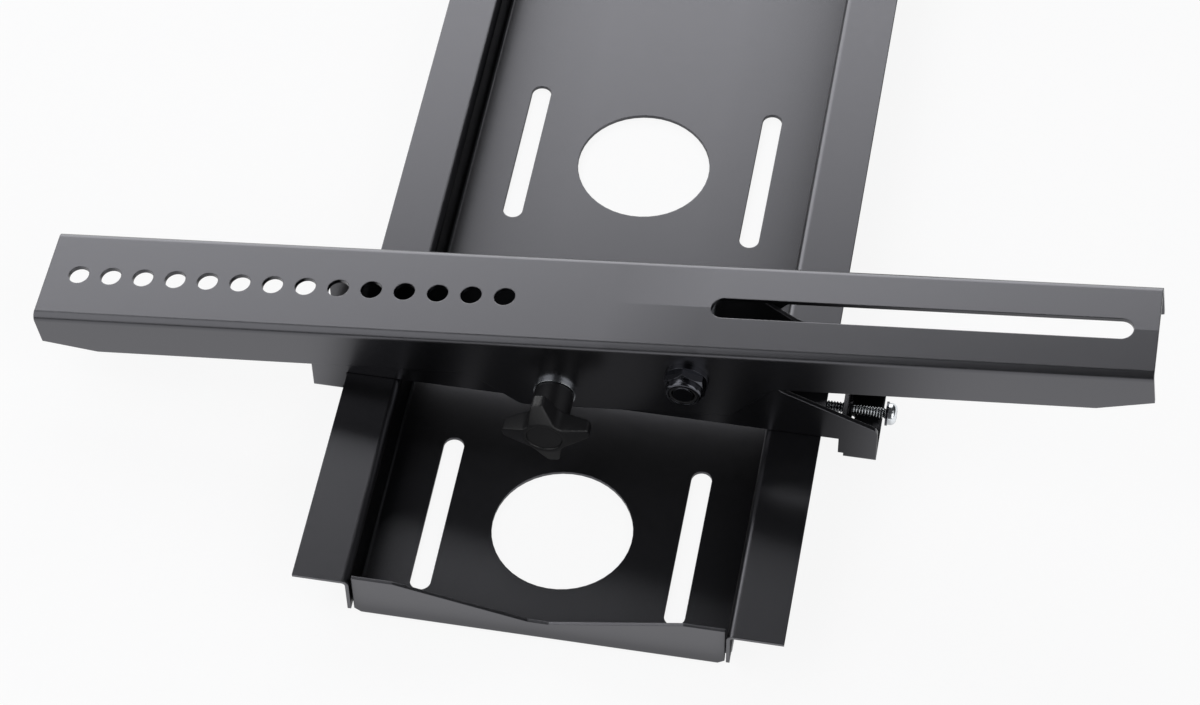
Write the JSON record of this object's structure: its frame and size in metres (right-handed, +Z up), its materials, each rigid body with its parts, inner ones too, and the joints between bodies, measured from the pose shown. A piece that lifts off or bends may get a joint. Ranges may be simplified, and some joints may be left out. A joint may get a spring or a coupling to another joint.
{
  "type": "tilting tv wall mount",
  "caption": "Folded black wall plate with hanging tilt arms: hook brackets, clamp knobs, slotted channels for a flat screen and lock screws.",
  "frame": {"origin": "centre of the wall plate's back face, in the plane of the wall", "axes": "+X along the wall plate to the viewer's right, +Y into the wall, +Z up"},
  "size_m": [0.7226, 0.1022, 0.4765],
  "materials": {
    "powder_coat": "satin black powder coat",
    "black_steel": "satin black zinc",
    "zinc_steel": "bright zinc",
    "black_plastic": "fine grain",
    "nylon": "matt",
    "brass": "turned"
  },
  "bodies": {
    "wall_plate": {"wall_plate": "powder_coat"},
    "left_bracket": {"left_hook_bracket": "powder_coat", "left_pivot_sleeve": "zinc_steel", "left_friction_washers": "nylon"},
    "left_arm": {"left_arm": "powder_coat", "left_pivot_bolt": "black_steel", "left_pivot_nut": "black_steel", "left_pivot_nut_ring": "nylon", "left_pivot_washer": "black_steel", "left_tilt_bolt": "zinc_steel", "left_clamp_washers": "nylon", "left_knob_washer": "zinc_steel"},
    "left_knob": {"left_tilt_knob": "black_plastic", "left_knob_insert": "brass", "left_knob_cap": "black_plastic"},
    "left_screw_travel": {"left_lock_washer": "black_steel"},
    "left_lock_screw": {"left_lock_screw": "zinc_steel"},
    "right_bracket": {"right_hook_bracket": "powder_coat", "right_pivot_sleeve": "zinc_steel", "right_friction_washers": "nylon"},
    "right_arm": {"right_arm": "powder_coat", "right_pivot_bolt": "black_steel", "right_pivot_nut": "black_steel", "right_pivot_nut_ring": "nylon", "right_pivot_washer": "black_steel", "right_tilt_bolt": "zinc_steel", "right_clamp_washers": "nylon", "right_knob_washer": "zinc_steel"},
    "right_knob": {"right_tilt_knob": "black_plastic", "right_knob_insert": "brass", "right_knob_cap": "black_plastic"},
    "right_screw_travel": {"right_lock_washer": "black_steel"},
    "right_lock_screw": {"right_lock_screw": "zinc_steel"}
  },
  "joints": [
    {"name": "left_bracket_slide", "type": "slide", "parent": "wall_plate", "child": "left_bracket", "axis": [1, 0, 0], "range_m": [-0.0638, 0.136]},
    {"name": "left_arm_tilt", "type": "hinge", "parent": "left_bracket", "child": "left_arm", "pos_m": [-0.23625, -0.0596, -0.0456], "axis": [1, 0, 0], "range_deg": [0, 19.38]},
    {"name": "left_knob_turn", "type": "hinge", "parent": "left_arm", "child": "left_knob", "pos_m": [-0.23625, -0.0381, 0.0106], "axis": [-1, 0, 0], "range_deg": [0, 540]},
    {"name": "left_screw_travel", "type": "slide", "parent": "left_bracket", "child": "left_screw_travel", "axis": [0, 0, -1], "range_m": [-0.01, 0.012]},
    {"name": "left_screw_turn", "type": "hinge", "parent": "left_screw_travel", "child": "left_lock_screw", "pos_m": [-0.23625, -0.0208, -0.115], "axis": [0, 0, 1], "range_deg": [-4500, 5400]},
    {"name": "right_bracket_slide", "type": "slide", "parent": "wall_plate", "child": "right_bracket", "axis": [1, 0, 0], "range_m": [-0.136, 0.0638]},
    {"name": "right_arm_tilt", "type": "hinge", "parent": "right_bracket", "child": "right_arm", "pos_m": [0.23625, -0.0596, -0.0456], "axis": [1, 0, 0], "range_deg": [0, 19.38]},
    {"name": "right_knob_turn", "type": "hinge", "parent": "right_arm", "child": "right_knob", "pos_m": [0.23625, -0.0381, 0.0106], "axis": [1, 0, 0], "range_deg": [0, 540]},
    {"name": "right_screw_travel", "type": "slide", "parent": "right_bracket", "child": "right_screw_travel", "axis": [0, 0, -1], "range_m": [-0.01, 0.012]},
    {"name": "right_screw_turn", "type": "hinge", "parent": "right_screw_travel", "child": "right_lock_screw", "pos_m": [0.23625, -0.0208, -0.115], "axis": [0, 0, 1], "range_deg": [-4500, 5400]}
  ],
  "couplings": [
    {"joint": "left_screw_turn", "follows": "left_screw_travel", "rad_per_m": 7854},
    {"joint": "right_screw_turn", "follows": "right_screw_travel", "rad_per_m": 7854}
  ]
}
